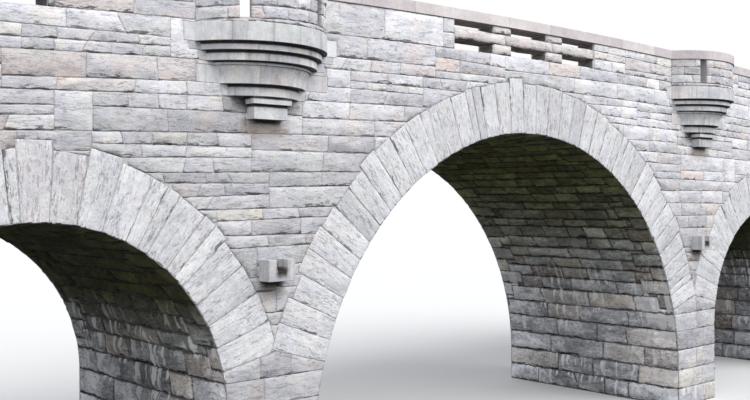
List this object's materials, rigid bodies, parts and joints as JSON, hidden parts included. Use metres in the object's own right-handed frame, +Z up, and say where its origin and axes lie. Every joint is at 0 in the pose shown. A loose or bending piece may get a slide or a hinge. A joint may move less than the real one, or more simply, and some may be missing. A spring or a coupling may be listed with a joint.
{
  "type": "stone arch bridge",
  "caption": "Stone road bridge of round arches, with a crowned gravel road, slotted parapets and round balconies corbelled out over its piers.",
  "frame": {"origin": "middle of the bridge in plan, at the level of the foot of its piers and abutments", "axes": "+X along the bridge, +Y across it from the front face to the back face, +Z up"},
  "size_m": [37.66, 7.44, 9.489],
  "materials": {
    "rough_stone": "rock-faced grey granite ashlar, some of it pink or buff",
    "ring_stone": "tooled grey granite wedge stones",
    "vault_stone": "weathered dark granite with white lime streaks",
    "corbel_stone": "smooth dressed grey granite with rain streaks",
    "coping_stone": "smooth dressed granite, slightly pink",
    "gravel": "rolled fine gravel"
  },
  "bodies": {
    "root": {"abutment_left": "rough_stone", "abutment_right": "rough_stone", "arch_ring_centre_back": "ring_stone", "arch_ring_centre_front": "ring_stone", "arch_ring_left_back": "ring_stone", "arch_ring_left_front": "ring_stone", "arch_ring_right_back": "ring_stone", "arch_ring_right_front": "ring_stone", "balcony_coping_back_left": "coping_stone", "balcony_coping_back_right": "coping_stone", "balcony_coping_front_left": "coping_stone", "balcony_coping_front_right": "coping_stone", "balcony_corbel_back_left": "corbel_stone", "balcony_corbel_back_right": "corbel_stone", "balcony_corbel_front_left": "corbel_stone", "balcony_corbel_front_right": "corbel_stone", "balcony_wall_back_left": "rough_stone", "balcony_wall_back_right": "rough_stone", "balcony_wall_front_left": "rough_stone", "balcony_wall_front_right": "rough_stone", "coping_back": "coping_stone", "coping_front": "coping_stone", "parapet_back_centre": "rough_stone", "parapet_back_left": "rough_stone", "parapet_back_right": "rough_stone", "parapet_front_centre": "rough_stone", "parapet_front_left": "rough_stone", "parapet_front_right": "rough_stone", "pier_left": "rough_stone", "pier_right": "rough_stone", "roadway": "gravel", "slot_grille_back_centre": "rough_stone", "slot_grille_back_left": "rough_stone", "slot_grille_back_right": "rough_stone", "slot_grille_front_centre": "rough_stone", "slot_grille_front_left": "rough_stone", "slot_grille_front_right": "rough_stone", "spandrel_left": "rough_stone", "spandrel_right": "rough_stone", "spouts_back": "corbel_stone", "spouts_front": "corbel_stone", "vault_centre": "vault_stone", "vault_left": "vault_stone", "vault_right": "vault_stone"}
  },
  "joints": []
}
